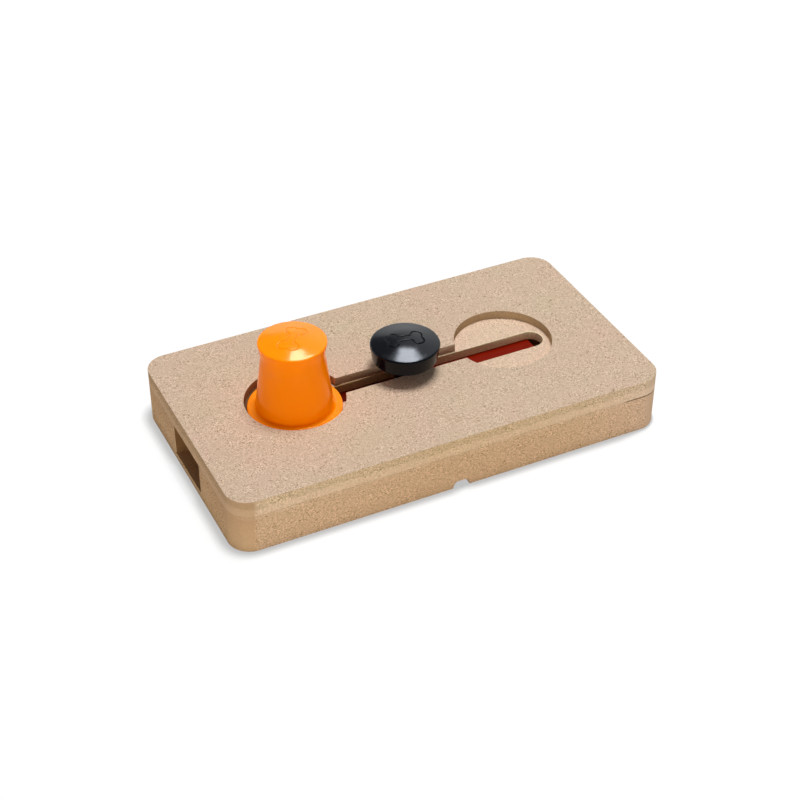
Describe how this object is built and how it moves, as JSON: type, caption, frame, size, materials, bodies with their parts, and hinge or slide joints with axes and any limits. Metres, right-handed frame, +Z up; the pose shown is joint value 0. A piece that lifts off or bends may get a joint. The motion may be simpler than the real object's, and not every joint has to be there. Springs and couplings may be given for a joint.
{
  "type": "wooden dog puzzle toy",
  "caption": "Flat wooden treat puzzle for a dog: round recesses joined by a slot, a knob that slides a bar through a hidden channel, and a lift-off cup over a recess.",
  "frame": {"origin": "middle of the board's underside, on the surface that it lies on", "axes": "+X along the board's length to the right, +Y to the back, +Z up"},
  "size_m": [0.22, 0.12, 0.0643],
  "materials": {
    "top_mdf": "sanded bare MDF face",
    "guide_mdf": "pale bare MDF, smooth",
    "core_mdf": "sawn bare MDF edge",
    "red_lacquer": "satin red lacquer on MDF",
    "black_plastic": "glossy moulded ABS",
    "orange_plastic": "glossy moulded polypropylene",
    "screw_steel": "bright zinc plate"
  },
  "bodies": {
    "board": {"top_sheet": "top_mdf", "guide_sheet": "guide_mdf", "front_rail": "core_mdf", "rear_rail": "core_mdf", "base_sheet": "core_mdf"},
    "slider": {"slider_bar": "red_lacquer", "knob": "black_plastic", "knob_screw": "screw_steel"},
    "cup": {"cup": "orange_plastic"}
  },
  "joints": [
    {"name": "knob_slide", "type": "slide", "parent": "board", "child": "slider", "axis": [1, 0, 0], "range_m": [-0.0238, 0.0695]},
    {"name": "cup_lift", "type": "slide", "parent": "board", "child": "cup", "axis": [0, 0, 1], "range_m": [0, 0.06]}
  ]
}
